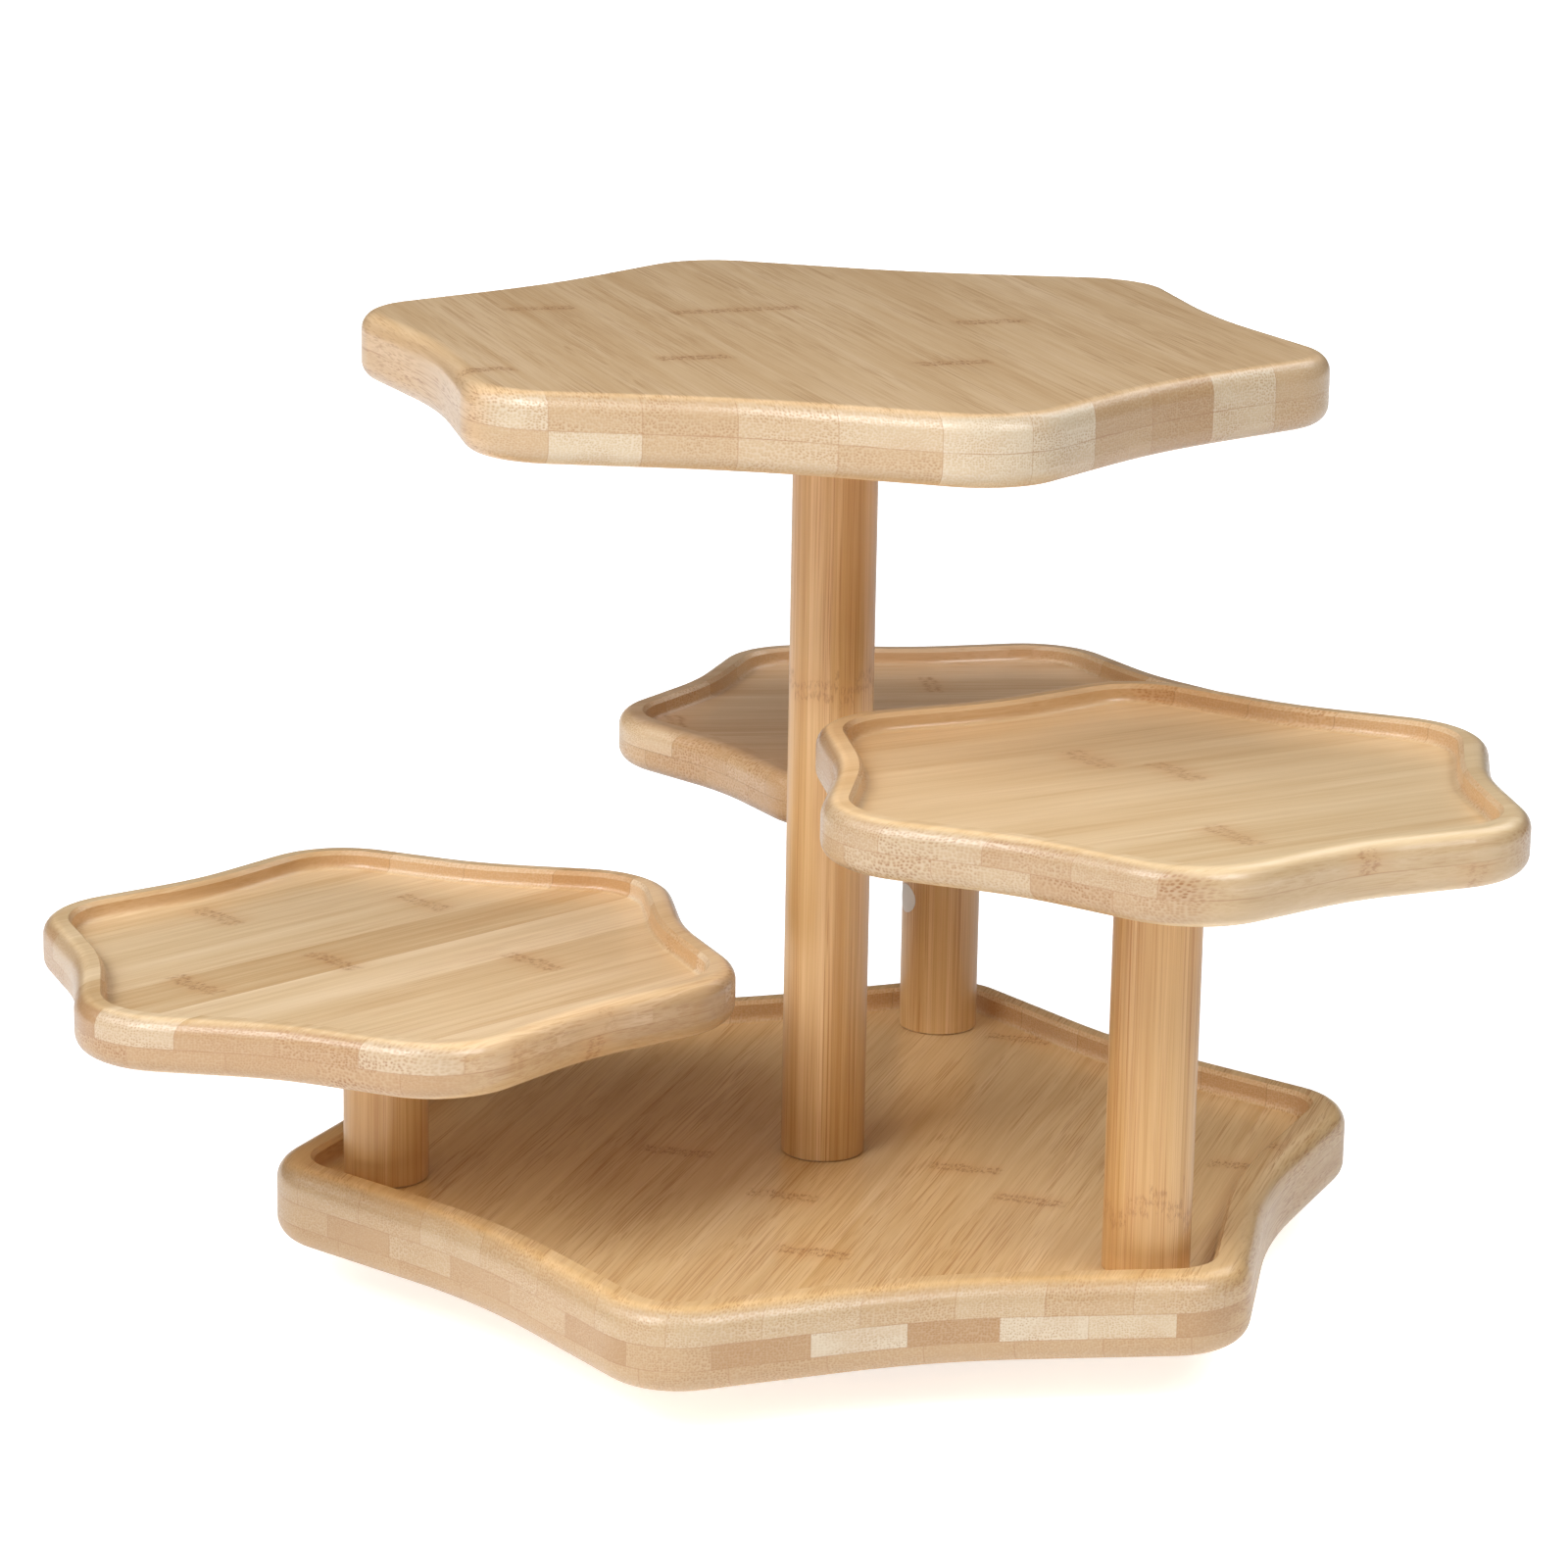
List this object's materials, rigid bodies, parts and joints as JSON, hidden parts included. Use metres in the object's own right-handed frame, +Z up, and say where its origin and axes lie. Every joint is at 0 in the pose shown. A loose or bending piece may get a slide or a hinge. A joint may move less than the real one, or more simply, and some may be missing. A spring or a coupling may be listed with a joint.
{
  "type": "tiered turntable",
  "caption": "Tiered bamboo turntable: a recessed lobed base on a ball bearing carries round posts, with a swivelling lobed tray or board on top of each.",
  "frame": {"origin": "on the bearing's spin axis, in the plane that the foot's rubber ring stands on", "axes": "+Z up along the spin axis; -Y is the front, +X to the right of a person facing the front"},
  "size_m": [0.4175, 0.4267, 0.2819],
  "materials": {
    "rubber": "matt moulded rubber",
    "foot_bamboo": "laminated bamboo, satin lacquer",
    "zinc_plate": "zinc-plated pressed steel",
    "zinc_screws": "zinc-plated steel",
    "cage_plastic": "moulded nylon",
    "ball_steel": "polished steel",
    "base_tray_bamboo": "laminated bamboo, satin lacquer",
    "post_bamboo": "laminated bamboo, satin lacquer",
    "brass": "machined brass",
    "fibre": "matt vulcanised fibre",
    "label_paper": "plain coated paper",
    "top_board_bamboo": "laminated bamboo, satin lacquer",
    "left_tray_bamboo": "laminated bamboo, satin lacquer",
    "right_tray_bamboo": "laminated bamboo, satin lacquer",
    "back_tray_bamboo": "laminated bamboo, satin lacquer"
  },
  "bodies": {
    "foot": {"non_slip_ring": "rubber", "foot_disc": "foot_bamboo", "bearing_lower_plate": "zinc_plate", "bearing_lower_screws": "zinc_screws"},
    "ball_ring": {"bearing_ball_cage": "cage_plastic", "bearing_balls": "ball_steel"},
    "turntable": {"base_tray": "base_tray_bamboo", "centre_post": "post_bamboo", "left_post": "post_bamboo", "right_post": "post_bamboo", "back_post": "post_bamboo", "post_bolts": "zinc_screws", "post_inserts": "brass", "swivel_studs": "zinc_screws", "swivel_washers": "fibre", "bearing_upper_plate": "zinc_plate", "bearing_upper_screws": "zinc_screws", "blank_label": "label_paper"},
    "top_tier": {"top_board": "top_board_bamboo", "top_board_insert": "brass"},
    "left_tier": {"left_tray": "left_tray_bamboo", "left_tray_insert": "brass"},
    "right_tier": {"right_tray": "right_tray_bamboo", "right_tray_insert": "brass"},
    "back_tier": {"back_tray": "back_tray_bamboo", "back_tray_insert": "brass"}
  },
  "joints": [
    {"name": "turntable_spin", "type": "hinge", "parent": "foot", "child": "turntable", "pos_m": [0, 0, 0.0115], "axis": [0, 0, 1], "continuous": true},
    {"name": "ball_ring_spin", "type": "hinge", "parent": "foot", "child": "ball_ring", "pos_m": [0, 0, 0.0115], "axis": [0, 0, 1], "continuous": true},
    {"name": "top_swivel", "type": "hinge", "parent": "turntable", "child": "top_tier", "pos_m": [0, 0, 0.2621], "axis": [0, 0, 1], "continuous": true},
    {"name": "left_swivel", "type": "hinge", "parent": "turntable", "child": "left_tier", "pos_m": [-0.12885, -0.03046, 0.0896], "axis": [0, 0, 1], "continuous": true},
    {"name": "right_swivel", "type": "hinge", "parent": "turntable", "child": "right_tier", "pos_m": [0.0908, -0.09636, 0.1623], "axis": [0, 0, 1], "continuous": true},
    {"name": "back_swivel", "type": "hinge", "parent": "turntable", "child": "back_tier", "pos_m": [0.03805, 0.12682, 0.1231], "axis": [0, 0, 1], "continuous": true}
  ],
  "couplings": [
    {"joint": "ball_ring_spin", "follows": "turntable_spin", "ratio": 0.5}
  ]
}
